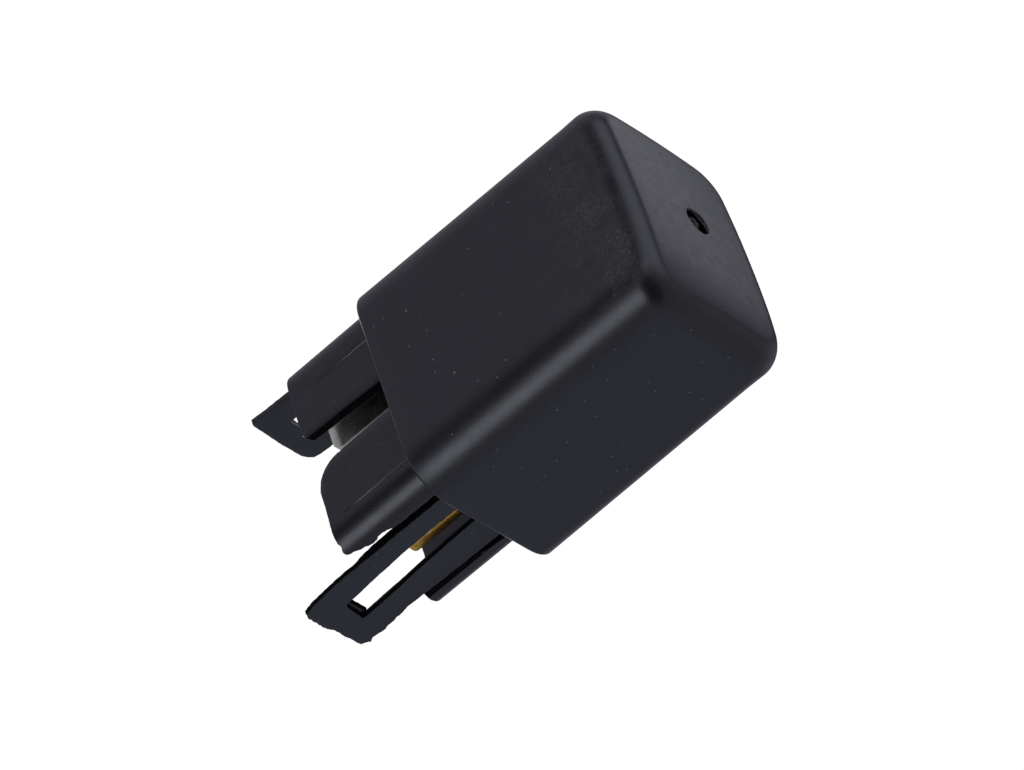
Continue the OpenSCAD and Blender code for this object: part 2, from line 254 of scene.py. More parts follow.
def blade_metal(name, bare=1.0):
    """Tin on the rolled faces; on the sheared edges brass with lengthwise streaks where bare is 1."""
    mat, t = material(name)
    p, tc = object_mm(t)
    nrm = t.n("ShaderNodeSeparateXYZ", Vector=tc.outputs["Normal"])
    face = t.span(t.math("ABSOLUTE", nrm.outputs[1]), 0.72, 0.9)
    pos = t.n("ShaderNodeSeparateXYZ", Vector=p)
    if bare:
        # the tin is worn through along both edges
        wander = t.span(t.noise(t.vmath("MULTIPLY", p, (1.0, 1.0, 0.3)), 2.2, 4.0, 0.7), 0.3, 0.7, -0.07, 0.07)
        side = t.math("ADD", t.math("ABSOLUTE", t.math("SUBTRACT", pos.outputs[0], 5.2)), wander)
        worn = t.math("MAXIMUM", t.span(side, 1.16, 1.08), t.span(pos.outputs[2], -0.4, 0.2))
        face = t.math("MULTIPLY", face, worn)
    slow = t.noise(p, 0.7, 4.0, 0.6)
    fine = t.noise(p, 11.0, 3.0, 0.6)
    tin_st = t.noise(t.vmath("MULTIPLY", p, (1.0, 1.0, 0.14)), 6.0, 4.0, 0.6)
    tin = t.mix(t.span(slow, 0.4, 0.7, 0.0, 0.55), (0.68, 0.655, 0.56, 1), (0.47, 0.445, 0.35, 1))
    tin = t.mix(t.span(tin_st, 0.5, 0.72, 0.0, 0.4), tin, (0.42, 0.39, 0.30, 1))
    # painted shade: the tin darkens towards the plate, where the blade sits deep inside the shroud
    tin = t.mix(t.span(pos.outputs[2], -7.6, -2.2, 0.0, 0.62), tin, (0.085, 0.083, 0.075, 1))
    shear = t.noise(t.vmath("MULTIPLY", p, (7.0, 7.0, 0.35)), 1.6, 4.0, 0.7)
    brass = t.mix(t.span(shear, 0.38, 0.62), (1.0, 0.62, 0.11, 1), (0.50, 0.24, 0.03, 1))
    brass = t.mix(t.span(t.noise(p, 1.7, 3.0), 0.5, 0.7, 0.0, 0.5), brass, (1.0, 0.76, 0.32, 1))
    brass = t.mix(1.0 - bare, brass, tin)
    c = t.mix(face, brass, tin)
    r = t.math("ADD", t.span(slow, 0.3, 0.7, 0.26, 0.36), t.span(fine, 0.3, 0.7, -0.03, 0.05))
    r = t.math("ADD", r, t.math("MULTIPLY", t.math("SUBTRACT", 1.0, face), 0.08), clamp=True)
    h = t.mix(face, shear, t.math("ADD", t.math("MULTIPLY", tin_st, 0.4), t.math("MULTIPLY", fine, 0.3)))
    finish_material(t, c, r, bump(t, h, 0.022), metallic=1.0, ior=1.5)
    return mat


def winding(name):
    """Enamelled wire lying in turns, with the turns as ridges."""
    mat, t = material(name)
    p, tc = object_mm(t)
    s = t.n("ShaderNodeSeparateXYZ", Vector=p)
    turn = t.math("PINGPONG", s.outputs[2], 0.09)
    ridge = t.span(turn, 0.0, 0.09, 0.0, 1.0)
    slow = t.noise(p, 0.6, 3.0)
    # painted shade and highlight: the colour darkens in the grooves between turns and lightens on their crests,
    # following the ridge used for the bump
    c = t.mix(ridge, (0.16, 0.045, 0.012, 1), (0.62, 0.22, 0.07, 1))
    c = t.mix(t.span(slow, 0.4, 0.7, 0.0, 0.4), c, (0.74, 0.30, 0.10, 1))
    finish_material(t, c, t.span(slow, 0.3, 0.7, 0.22, 0.34), bump(t, ridge, 0.06), metallic=0.75, ior=1.5, coat=0.4, coat_rough=0.15)
    return mat


def polymer(name, colour, other, rough=0.45, ior=1.48, coat=0.0):
    mat, t = material(name)
    p, tc = object_mm(t)
    slow = t.noise(p, 0.4, 3.0)
    fine = t.noise(p, 9.0, 3.0, 0.6)
    c = t.mix(t.span(slow, 0.35, 0.7), (*colour, 1), (*other, 1))
    finish_material(t, c, t.span(fine, 0.3, 0.7, rough - 0.05, rough + 0.06), bump(t, fine, 0.01), ior=ior, coat=coat)
    return mat


# ---------------------------------------------------------------- mesh helpers
def to_object(bm, name, smooth_deg=32.0):
    bmesh.ops.recalc_face_normals(bm, faces=bm.faces[:])
    if bm.calc_volume(signed=True) < 0:
        bmesh.ops.reverse_faces(bm, faces=bm.faces[:])
    me = bpy.data.meshes.new(name)
    bm.to_mesh(me)
    bm.free()
    for poly in me.polygons:
        poly.use_smooth = True
    me.set_sharp_from_angle(angle=math.radians(smooth_deg))
    obj = bpy.data.objects.new(name, me)
    scene.collection.objects.link(obj)
    return obj


def resample(pts, step, closed=True):
    """Points along a polyline no further apart than step, keeping its corners."""
    out = []
    n = len(pts)
    for i in range(n if closed else n - 1):
        a, b = Vector(pts[i]), Vector(pts[(i + 1) % n])
        k = max(1, math.ceil((b - a).length / step))
        out += [a.lerp(b, j / k) for j in range(k)]
    if not closed:
        out.append(Vector(pts[-1]))
    return out


def inset(loop, d):
    """Moves every point of a loop to its left by d; the solid lies on the left."""
    out = []
    n = len(loop)
    for i in range(n):
        a, b, c = loop[i - 1], loop[i], loop[(i + 1) % n]
        u = (b - a).normalized()
        v = (c - b).normalized()
        n1, n2 = Vector((-u.y, u.x)), Vector((-v.y, v.x))
        s = n1 + n2
        if s.length < 1e-6:
            out.append(b + n1 * d)
            continue
        s.normalize()
        out.append(b + s * (d / max(0.5, s.dot(n1))))
    return out


def ragged(loop, amount, seed, keep=None, wave=1.0):
    """Wanders a closed loop sideways with noise; amount(point) is in millimetres."""
    out = []
    n = len(loop)
    for i in range(n):
        a, b, c = loop[i - 1], loop[i], loop[(i + 1) % n]
        u = (c - a).normalized()
        side = Vector((u.y, -u.x))
        k = amount(b)
        x = Vector((b.x * wave, b.y * wave, seed * 7.3))
        d = 0.75 * noise.noise(x * 0.8) + 0.4 * noise.noise(x * 2.1) + 0.14 * noise.noise(x * 4.9)
        out.append(b + side * (k * d))
    return out


def slab(outer, holes, t, b, place, cuts_u=(), cuts_v=(), segs=2, torn=0.0, side_mat=0):
    """Closed plate over a region of the (u, v) plane, w from 0 to -t, with rounded edges.
    place(u, v, w) gives the point in millimetres."""
    loops = [outer] + list(holes)
    prof = []
    for k in range(segs + 1):
        a = 0.5 * math.pi * k / segs
        prof.append((b * (1 - math.sin(a)), -b * (1 - math.cos(a))))
    prof += [(i, -t - w) for i, w in reversed(prof)]
    bm = bmesh.new()
    rings = []
    for lp in loops:
        per = []
        for ins, w in prof:
            moved = inset(lp, ins) if ins > 1e-9 else lp
            if torn:
                moved = [p + torn * Vector((noise.noise(Vector((p.x * 2.3, p.y * 2.3, w * 3.1))), noise.noise(Vector((p.x * 2.3 + 40, p.y * 2.3, w * 3.1))))) for p in moved]
            per.append([bm.verts.new((p.x, p.y, w)) for p in moved])
        rings.append(per)
    for per in rings:
        # side_mat goes on the flat cut faces round the edge; with the torn material it paints shade there
        n = len(per[0])
        for k, (r0, r1) in enumerate(zip(per, per[1:])):
            for i in range(n):
                j = (i + 1) % n
                bm.faces.new((r0[i], r0[j], r1[j], r1[i])).material_index = side_mat if k == segs else 0
    for end in (0, -1):
        flat = [v for per in rings for v in per[end]]
        polys = [[Vector((v.co.x, v.co.y, 0)) for v in per[end]] for per in rings]
        for tri in tessellate_polygon(polys):
            if len(set(tri)) == 3:
                try:
                    bm.faces.new([flat[i] for i in tri])
                except ValueError:
                    pass
    for c in cuts_u:
        bmesh.ops.bisect_plane(bm, geom=bm.verts[:] + bm.edges[:] + bm.faces[:], dist=1e-5, plane_co=(c, 0, 0), plane_no=(1, 0, 0))
    for c in cuts_v:
        bmesh.ops.bisect_plane(bm, geom=bm.verts[:] + bm.edges[:] + bm.faces[:], dist=1e-5, plane_co=(0, c, 0), plane_no=(0, 1, 0))
    for v in bm.verts:
        v.co = Vector(place(v.co.x, v.co.y, v.co.z)) * MM
    return bm


def union(objs, name, slots=1):
    """One closed mesh from overlapping closed ones."""
    base = objs[0]
    for o in objs:
        for _ in range(slots):
            o.data.materials.append(None)
    for o in objs[1:]:
        mod = base.modifiers.new("join", "BOOLEAN")
        mod.operation = "UNION"
        mod.solver = "EXACT"
        mod.object = o
    dg = bpy.context.evaluated_depsgraph_get()
    me = bpy.data.meshes.new_from_object(base.evaluated_get(dg))
    for o in objs:
        bpy.data.objects.remove(o)
    me.name = name
    bm = bmesh.new()
    bm.from_mesh(me)
    bmesh.ops.remove_doubles(bm, verts=bm.verts[:], dist=2e-7)
    bmesh.ops.dissolve_degenerate(bm, edges=bm.edges[:], dist=2e-7)
    bmesh.ops.delete(bm, geom=[e for e in bm.edges if not e.link_faces], context="EDGES")
    bmesh.ops.delete(bm, geom=[v for v in bm.verts if not v.link_faces], context="VERTS")
    bm.to_mesh(me)
    bm.free()
    for poly in me.polygons:
        poly.use_smooth = True
    me.set_sharp_from_angle(angle=math.radians(32))
    obj = bpy.data.objects.new(name, me)
    scene.collection.objects.link(obj)
    return obj


def even_shading(obj):
    """Lets large flat faces keep their own direction where they meet narrow rounded edges."""
    mod = obj.modifiers.new("even_shading", "WEIGHTED_NORMAL")
    mod.mode = "FACE_AREA"
    mod.weight = 50
    mod.keep_sharp = True


def arc(cx, cy, r, a0, a1, n):
    return [(cx + r * math.cos(math.radians(a0 + (a1 - a0) * i / n)), cy + r * math.sin(math.radians(a0 + (a1 - a0) * i / n))) for i in range(n + 1)]


# ---------------------------------------------------------------- cover
HW, HD, TOP = 13.0, 10.1, 30.15
DRAFT = math.tan(math.radians(0.46))
CR, FR, WALL = 4.5, 2.35, 1.25
GX, GY, GR = -0.9, 0.85, 1.42


def rounded(a, b, r, nc=18, nx=22, ny=16):
    """Points round a rectangle of half sizes a, b with corner radius r, always as many."""
    pts = []
    r = max(r, 0.05)
    for cx, cy, a0, sx, k in ((a - r, b - r, 0, (-1, 0), nx), (r - a, b - r, 90, (0, -1), ny), (r - a, r - b, 180, (1, 0), nx), (a - r, r - b, 270, (0, 1), ny)):
        pts += arc(cx, cy, r, a0, a0 + 90, nc)
        x, y = pts[-1]
        length = 2 * (a - r) if sx[0] else 2 * (b - r)
        pts += [(x + sx[0] * length * i / k, y + sx[1] * length * i / k) for i in range(1, k)]
    return pts


def dome(x, y):
    return TOP - (x * x + y * y) / 350.0 - 0.10 * max(0.0, (x - 5.8) / 3.4) ** 2


def build_cover():
    bm = bmesh.new()
    rings = []

    def ring(pts):
        rings.append([bm.verts.new(Vector(p) * MM) for p in pts])

    wall_top = 27.6
    # inside, from the middle of the ceiling down to the rim
    ceiling = 28.5
    for f in (0.05, 0.35, 0.7):
        ring([(x, y, ceiling) for x, y in rounded((HW - WALL - 1.7) * f, (HD - WALL - 1.7) * f, 1.6 * f)])
    for k in range(7):
        a = math.radians(90 - 15 * k)
        ins = WALL + 0.22 + 1.45 * (1 - math.cos(a))
        ring([(x, y, ceiling - 1.45 * (1 - math.sin(a))) for x, y in rounded(HW - ins, HD - ins, CR - ins)])
    for z in (20.0, 13.0, 6.0, 1.0, 0.28):
        ins = WALL + z * DRAFT
        ring([(x, y, z) for x, y in rounded(HW - ins, HD - ins, CR - ins)])
    # rim
    for ins, z in ((WALL - 0.06, 0.09), (WALL - 0.2, 0.0), (0.62, 0.0), (0.19, 0.0), (0.16, 0.006), (0.13, 0.03), (0.04, 0.13), (0.012, 0.175), (0.0, 0.24)):
        ring([(x, y, z + 0.02 * noise.noise(Vector((x, y, 3.1)) * 0.9) * (z < 0.1)) for x, y in rounded(HW - ins, HD - ins, CR - ins)])
    # outside walls, a touch hollow in the middle of each face as moulded shells are
    for k in range(1, 15):
        f = k / 15
        pts = []
        for x, y in rounded(HW, HD, CR):
            end = dome(x, y) - FR
            z = 0.24 + (end - 0.24) * f
            ins = z * DRAFT
            sx, sy = (HW - ins) / HW, (HD - ins) / HD
            px, py = x * sx, y * sy
            sink = 0.045 * math.sin(math.pi * f)
            if abs(abs(x) - HW) < 1e-6:
                px -= math.copysign(sink * math.cos(0.5 * math.pi * y / (HD - CR)), px)
            if abs(abs(y) - HD) < 1e-6:
                py -= math.copysign(sink * math.cos(0.5 * math.pi * x / (HW - CR)), py)
            pts.append((px, py, z))
        ring(pts)
    # edge between the sides and the top
    for k in range(0, 13):
        a = math.radians(90 * k / 12)
        ins = 27.0 * DRAFT + FR * (1 - math.cos(a))
        ring([(x, y, dome(x, y) - FR * (1 - math.sin(a))) for x, y in rounded(HW - ins, HD - ins, CR - ins)])
    # top, closing on the gate recess
    ins = 27.0 * DRAFT + FR
    start = rounded(HW - ins, HD - ins, CR - ins)
    ang = [math.atan2(y / (HD - ins), x / (HW - ins)) for x, y in start]
    for f in (0.12, 0.25, 0.38, 0.5, 0.62, 0.73, 0.83, 0.9, 0.96, 1.0):
        pts = []
        for (x, y), w in zip(start, ang):
            cx, cy = GX + (GR + 0.14) * math.cos(w), GY + (GR + 0.14) * math.sin(w)
            px, py = x + (cx - x) * f, y + (cy - y) * f
            pts.append((px, py, dome(px, py)))
        ring(pts)
    gate_top = dome(GX, GY)
    lip = len(rings) + 2
    for r, dz, ledge in ((GR + 0.06, -0.012, 0), (GR + 0.015, -0.05, 0), (GR - 0.01, -0.13, 0), (GR - 0.03, -0.15, 0.55), (GR - 0.05, -0.17, 0.9), (GR - 0.06, -0.24, 1), (GR - 0.08, -0.5, 0.9), (GR - 0.1, -0.85, 0.7), (GR - 0.2, -0.95, 0.5), (GR - 0.4, -0.97, 0.3)):
        pts = []
        for w in ang:
            k = max(0.0, math.cos(w - math.radians(128))) ** 3
            k = 0.42 * ledge * k * (1 + 0.35 * noise.noise(Vector((math.cos(w) * 3, math.sin(w) * 3, 8.0))))
            rr = r * (1 + 0.012 * noise.noise(Vector((math.cos(w), math.sin(w), 5.0)) * 2.2)) - k
            pts.append((GX + rr * math.cos(w), GY + rr * math.sin(w), gate_top + dz))
        ring(pts)
    # torn stub of the sprue
    for r, dz, rag in ((0.78, -0.965, 0.02), (0.7, -0.88, 0.05), (0.66, -0.6, 0.08), (0.64, -0.4, 0.10), (0.6, -0.27, 0.13), (0.5, -0.2, 0.13), (0.38, -0.24, 0.16), (0.25, -0.3, 0.18), (0.1, -0.26, 0.08)):
        pts = []
        for w in ang:
            q = Vector((math.cos(w), math.sin(w), r * 2.0))
            k = noise.noise(q * 1.9) + 0.5 * noise.noise(q * 4.7)
            h = noise.noise(q * 1.4 + Vector((9, 2, 4))) + 0.6 * noise.noise(q * 5.2)
            rr = r * (1 + 0.9 * rag * k)
            pts.append((GX + 0.12 + rr * math.cos(w), GY - 0.3 + 0.92 * rr * math.sin(w), gate_top + dz + rag * h * (1.0 if dz > -0.4 else 0.2)))
        ring(pts)
    for k, (r0, r1) in enumerate(zip(rings, rings[1:])):
        n = len(r0)
        for i in range(n):
            j = (i + 1) % n
            # painted shade: the walls of the gate recess and the foot of the sprue stub take the near-black torn
            # material
            pit_painted_shade = lip + 2 <= k <= lip + 11 or (k == lip + 1 and abs(math.degrees(ang[i]) - 128) > 60)
            bm.faces.new((r0[i], r0[j], r1[j], r1[i])).material_index = 1 if pit_painted_shade else 0
    for r in (rings[0], rings[-1]):
        c = sum((v.co for v in r), Vector()) / len(r)
        cv = bm.verts.new(c)
        for i in range(len(r)):
            bm.faces.new((r[i], r[(i + 1) % len(r)], cv)).material_index = 0
    return to_object(bm, "cover_shell", 40)


# ---------------------------------------------------------------- base
SY, SD, ST = -1.125, 7.475, 1.05
X_CON = -4.55
YF, YB = SY - SD, SY + SD
RC = 3.0


def wall_place(y0, ydir, xdir, pad):
    """Maps (u, v, w) onto a shroud wall: straight along x, round the corner, then straight
    towards the latch loop; past U_END the u coordinate measures plain distance along y."""

    def place(u, v, w):
        s = abs(u)
        sg = (1 if u >= 0 else -1) * xdir
        lift = pad(u, v) if w > -0.5 * ST else 0.0
        w = w + lift
        if s <= 8.6:
            return (sg * s, y0 + ydir * w, v)
        if s > U_END:
            off = 0.725 - (s - U_END)
            return (sg * (8.6 + math.sqrt((RC + w) ** 2 - max(0.0, off) ** 2)), y0 - ydir * RC + ydir * off, v)
        here = math.acos(0.725 / (3.0 + w))
        f = (s - 8.6) / (U_END - 8.6) * here
        return (sg * (8.6 + (RC + w) * math.sin(f)), y0 - ydir * RC + ydir * (RC + w) * math.cos(f), v)

    return place


U_END = 8.6 + 3.0 * math.acos(0.725 / 3.0)
ARC_CUTS = [8.6 + 3.0 * math.radians(5.5 * k) for k in range(0, 14)]


def step_pad(edge, until, lip):
    """Low pad that ends in a step with a shallow groove beside it, fading towards its foot."""

    def pad(u, v):
        q = abs(u) - edge
        fade = 1 - max(0.0, min(1.0, -v / until)) ** 2.2
        k = max(0.0, min(1.0, (0.05 - q) / 0.10))
        k = k * k * (3 - 2 * k)
        h = 0.09 * k
        if q > -0.05:
            g = max(0.0, min(1.0, (0.55 - q) / 0.5))
            h -= 0.065 * g * (1 - k)
        h += lip * math.exp(-((q + 0.07) / 0.045) ** 2)
        return h * fade

    return pad


PAD_CUTS = (-0.3, -0.18, -0.13, -0.1, -0.07, -0.05, -0.025, 0.0, 0.025, 0.05, 0.1, 0.2, 0.32, 0.44, 0.56)


def v2(pts):
    return [Vector(p) for p in pts]


def build_base():
    parts = []
    down = [-0.4 * k for k in range(1, 26)]
    # front wall, near side; its end by the latch loop is a torn edge
    o = v2([(1.86, 0.7), (1.86, -7.45)] + arc(4.86, -7.45, 3.0, 180, 262, 14)[1:] + [(6.2, -10.43), (8.4, -10.52), (10.2, -10.68), (U_END - 1.1, -10.78), (U_END - 0.78, -10.62), (U_END - 0.62, -10.1), (U_END - 0.36, -9.4), (U_END - 0.1, -8.7), (U_END - 0.04, -8.0), (U_END - 0.1, -7.6),
                                                                             (U_END - 0.2, -7.3), (U_END - 0.14, -6.4), (U_END + 0.03, -5.4), (U_END + 0.17, -4.9), (U_END + 0.2, -1.0), (U_END, 0.7)])
    o = ragged(resample(o, 0.12), lambda p: 0.02 if p.x < 10.2 or p.y > -3 else (0.22 if p.y < -8.8 else 0.14), 1, wave=1.2)
    parts.append(to_object(slab(o, [], ST, 0.09, wall_place(YF, -1, 1, step_pad(8.3, 9.1, 0.0)), [3, 5, 6.5] + [8.3 + c for c in PAD_CUTS] + ARC_CUTS[2:], down, torn=0.05, side_mat=1), "w1"))
    # front wall, far side
    o = v2([(1.6, 0.7), (2.25, -9.65)] + arc(3.05, -9.65, 0.8, 180, 270, 8)[1:] + [(8.6, -10.4)] + arc(U_END - 0.7, -9.72, 0.7, 270, 360, 6) + [(U_END, 0.7)])
    o = ragged(resample(o, 0.16), lambda p: 0.02, 2)
    parts.append(to_object(slab(o, [], ST, 0.1, wall_place(YF, -1, -1, step_pad(7.0, 8.9, 0.07)), [3, 5, 6.0] + [7.0 + c for c in PAD_CUTS] + ARC_CUTS, down, side_mat=1), "w2"))
    # back wall; next to the near loop it runs on as flash
    o = v2([(-U_END - 0.2, 0.7)] + arc(0.4 - U_END, -9.85, 0.6, 180, 270, 6) + [(0, -10.45), (U_END - 0.6, -10.43), (U_END + 0.5, -10.36), (U_END + 1.2, -10.42), (U_END + 1.42, -10.15), (U_END + 1.3, -9.6), (U_END + 1.05, -7.0), (U_END + 0.75, -4.0), (U_END + 0.42, -1.0), (U_END + 0.3, 0.7)])
    o = ragged(resample(o, 0.16), lambda p: 0.10 if abs(p.x) > 9.5 and p.y < -1 else 0.03, 3)
    cuts = [-c for c in ARC_CUTS] + ARC_CUTS + [U_END + 0.3, U_END + 0.45, U_END + 0.6, U_END + 0.72, U_END + 0.85, U_END + 1.0]
    bm = slab(o, [], ST, 0.09, wall_place(YB, 1, 1, lambda u, v: -0.42 * max(0.0, min(1.0, (u - U_END - 0.6) / 0.55))), cuts, down[2::3], torn=0.03, side_mat=1)
    bm.normal_update()
    # painted shade: faces turned along x on the flash beyond the corner take the near-black torn material, for the dark
    # band beside the near loop
    for f in bm.faces:
        c = f.calc_center_median() / MM
        if abs(f.normal.x) > 0.3 and c.y < 3.47 and c.x > 11.0 and c.z < 0:
            f.material_index = 1
    parts.append(to_object(bm, "w3"))
    # near latch loop: torn flash on its edges, a window that leans a little
    o = v2([(-5.42, 0.7), (-5.45, -8.0), (-5.47, -13.6), (-5.28, -15.6), (-5.22, -16.8), (-5.05, -17.55), (-4.95, -18.1), (-4.3, -18.32), (-3.0, -18.36), (-1.8, -18.34), (-0.9, -18.2),
            (0.15, -18.12), (1.4, -18.12), (2.5, -18.08), (2.78, -17.72), (3.12, -17.35), (2.84, -16.9), (2.82, -16.4), (3.0, -15.8), (2.98, -15.3), (2.86, -14.5), (2.72, -13.7),
            (2.8, -12.95), (2.6, -12.2), (2.62, -11.0), (2.8, -6.0), (2.9, 0.7)])
    flash = lambda p: 0.24 if p.y < -16.8 and p.x < 0 else (0.16 if p.y < -12.5 and p.x > 0 else (0.06 if p.x < 0 else 0.04))
    o = ragged(resample(o, 0.11), flash, 4, wave=1.5)
    w = v2([(-2.72, -14.95), (-2.82, -13.1), (-3.0, -11.0), (-3.14, -8.5), (-3.22, -6.5), (-3.25, -4.0), (-3.2, -1.0), (-3.1, 0.2), (-0.5, 0.2), (-0.4, -3.5), (-0.2, -8.3), (0.02, -11.0), (0.15, -14.0), (0.18, -15.2), (0.05, -15.55), (-1.3, -15.42), (-2.5, -15.3)])
    w = ragged(resample(list(reversed(w)), 0.14), lambda p: 0.045, 5)

    def near(u, v, s):
        # flash left along the arm makes its edge thicker than the loop
        k = max(0.0, min(1.0, (-4.72 - u) / 0.3)) * max(0.0, min(1.0, (v + 11.6) / 2.6))
        return (11.6 + s - (0.42 * k if s < -0.3 else 0.0), u, v)

    parts.append(to_object(slab(o, [w], 0.6, 0.07, near, [-5.02, -4.72], [-4, -8, -9, -10, -11, -11.6, -15.6], torn=0.03, side_mat=1), "l1"))
    # its thicker bar and the thicker arm next to the back wall
    o = v2([(-3.35, -15.0), (-3.1, -17.7), (0.4, -17.75), (0.75, -15.5), (0.2, -15.02)])
    o = ragged(resample(o, 0.2), lambda p: 0.04, 6)
    parts.append(to_object(slab(o, [], 0.55, 0.08, lambda u, v, s: (11.15 + s, u, v - 0.25 * s), [], [], torn=0.03, side_mat=1), "l2"))
    o = v2([(-0.3, 0.5), (-0.02, -8.0), (0.3, -15.6), (0.6, -16.4), (2.2, -16.4), (2.45, -12.0), (2.6, 0.5)])
    o = ragged(resample(o, 0.2), lambda p: 0.04, 7)
    parts.append(to_object(slab(o, [], 0.35, 0.07, lambda u, v, s: (11.1 + s, u, v), [], [], torn=0.03, side_mat=1), "l3"))
    # far latch loop, leaning outwards
    lean = math.radians(1.35)

    def far(x0):
        def place(u, v, s):
            x = x0 + s
            return (-11.6 - (x - 11.6) * math.cos(lean) + v * math.sin(lean), u, v * math.cos(lean) + (x - 11.6) * math.sin(lean))

        return place

    o = v2([(-5.42, 0.7), (-5.45, -12.0), (-5.52, -15.5), (-5.6, -17.02), (-5.3, -17.16), (-3.5, -17.25), (-1.0, -17.42), (1.6, -17.42), (2.2, -17.2), (2.75, -16.9), (2.95, -16.0), (2.98, -12.0), (2.9, 0.7)])
    o = ragged(resample(o, 0.16), lambda p: 0.06, 8)
    w = v2([(-2.78, -14.78), (-2.85, -12.0), (-2.85, -6.0), (-2.7, 0.2), (-0.3, 0.2), (0.0, -8.0), (0.1, -14.7), (-0.05, -14.9)])
    w = ragged(resample(list(reversed(w)), 0.2), lambda p: 0.04, 9)
    parts.append(to_object(slab(o, [w], 0.6, 0.035, far(11.6), [], [-4, -8, -12, -15], torn=0.03), "l4"))
    # floor plate with its blade slots
    hole = []
    for x, y, hw_ in ((X_CON, -5.25, 3.15), (X_CON, 2.55, 3.15), (5.2, -5.25, 1.4), (5.2, 2.55, 1.4)):
        a, b = hw_ + 0.06, 0.46 if hw_ > 2 else 0.47
        hole.append(v2(list(reversed(arc(x + a - 0.1, y + b - 0.1, 0.1, 0, 90, 3) + arc(x - a + 0.1, y + b - 0.1, 0.1, 90, 180, 3) + arc(x - a + 0.1, y - b + 0.1, 0.1, 180, 270, 3) + arc(x + a - 0.1, y - b + 0.1, 0.1, 270, 360, 3)))))
    o = v2(arc(8.56, 5.66, 3.1, 0, 90, 12) + arc(-8.56, 5.66, 3.1, 90, 180, 12) + arc(-8.56, -5.66, 3.1, 180, 270, 12) + arc(8.56, -5.66, 3.1, 270, 360, 12))
    parts.append(to_object(slab(o, hole, 2.25, 0.12, lambda u, v, s: (u, v, 2.6 + s)), "pl"))
    return union(parts, "base_moulding", 2)


# ---------------------------------------------------------------- blades
def build_blade(name, cx, cy, width, length, c, node):
    """The blade below the plate with coined tip and sheared edges, joined to the terminal's inner part."""
    hw_ = width / 2
    nose = 2.3 if width > 4 else 1.0
    o = v2([(cx - hw_, 0.9), (cx - hw_, c + 0.05 - length), (cx - hw_ + c * 0.35, c * 0.45 - length), (cx - hw_ + c + 0.05, -length), (cx + hw_ - c - 0.05, -length), (cx + hw_ - c * 0.35, c * 0.45 - length), (cx + hw_, c + 0.05 - length), (cx + hw_, 0.9)])
    o = ragged(resample(o, 0.2), lambda p: 0.004, int(10 + cx + cy))

    def place(u, v, w):
        # the last part of the blade is coined thinner towards its tip
        f = max(0.0, min(1.0, (v + length) / nose))
        half = 0.4 * (0.42 + 0.58 * math.sqrt(1 - (1 - f) ** 2))
        return (u, cy + (-w - 0.4) / 0.4 * half, v)

    bm = slab(o, [], 0.8, 0.07, place, [cx], [nose * k - length for k in (0.03, 0.07, 0.12, 0.18, 0.25, 0.33, 0.42, 0.52, 0.64, 0.8, 1.0)] + [0.0])
    blade = to_object(bm, name + "_a")
    # inner part, from the construction model, cut where the blade takes over
    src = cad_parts[node].data
    inner = bmesh.new()
    inner.from_mesh(src)
    bmesh.ops.remove_doubles(inner, verts=inner.verts[:], dist=1e-7)
    cut = bmesh.ops.bisect_plane(inner, geom=inner.verts[:] + inner.edges[:] + inner.faces[:], dist=1e-7, plane_co=(0, 0, 0.5 * MM), plane_no=(0, 0, 1), clear_inner=True)
    edges = [e for e in inner.edges if e.is_boundary]
    bmesh.ops.holes_fill(inner, edges=edges, sides=0)
    bmesh.ops.dissolve_limit(inner, angle_limit=math.radians(1.0), verts=inner.verts[:], edges=inner.edges[:])
    inner_obj = to_object(inner, name + "_b")
    return union([inner_obj, blade], name)


# ---------------------------------------------------------------- make the pieces
F1_DOTS = [(-5, -10.06, 5, 0.11), (3, -10.0, 13.9, 0.10), (2.1, -10.05, 6, 0.09), (8, -10.0, 12.9, 0.10), (5.1, -10.04, 7.6, 0.12), (7.8, -10.02, 9.6, 0.09), (9, -10.0, 11.5, 0.09), (-2.0, -10.0, 11.0, 0.08)]
cover_mat = plastic("cover_plastic", rough=0.30, dots=F1_DOTS, scuff=True, texture=0.28)
base_mat = plastic("base_plastic", base=(0.0072, 0.0072, 0.0082), tint=(0.0072, 0.0078, 0.0094), rough=0.27, texture=0.3, dusty=0.7)
painted_shade_torn_mat = torn_plastic_painted_shade("torn_plastic_painted_shade")
tin_mat = blade_metal("tinned_brass", 0.0)
bare_mat = blade_metal("tinned_brass_bare_edge", 1.0)

cover = build_cover()
cover.data.materials.append(cover_mat)
# slot 1 holds the torn material, which paints shade into the gate recess
cover.data.materials.append(painted_shade_torn_mat)
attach(cover, "frame"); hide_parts("cover")

base = build_base()
base.data.materials[0] = base_mat
# slot 1 holds the torn material, which paints shade onto the cut faces
base.data.materials[1] = painted_shade_torn_mat
even_shading(base)
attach(base, "frame"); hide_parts("base")

for nm, cx, cy, w, ln, c, node, mat in (("blade_contact", X_CON, -5.25, 6.3, 9.5, 0.9, "contact_terminal", tin_mat), ("blade_common", X_CON, 2.55, 6.3, 9.5, 0.9, "common_terminal", tin_mat),
                                        ("blade_coil_front", 5.2, -5.25, 2.8, 9.9, 0.35, "coil_terminal_front", bare_mat), ("blade_coil_back", 5.2, 2.55, 2.8, 9.9, 0.35, "coil_terminal_back", bare_mat)):
    ob = build_blade(nm, cx, cy, w, ln, c, node)
    ob.data.materials.clear(); ob.data.materials.append(mat)
    even_shading(ob)
    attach(ob, "frame"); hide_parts(node)

iron = metal("iron_plated", (0.56, 0.57, 0.58), (0.30, 0.30, 0.31), 0.34)
steel = metal("rivet_steel", (0.66, 0.66, 0.66), (0.38, 0.37, 0.36), 0.28)
silver = metal("contact_silver", (0.90, 0.89, 0.86), (0.55, 0.53, 0.50), 0.22)
brass = metal("brass_strip", (0.80, 0.58, 0.26), (0.42, 0.27, 0.10), 0.3)
bronze = metal("spring_bronze", (0.78, 0.47, 0.26), (0.42, 0.22, 0.10), 0.26)
copper = winding("copper_winding")
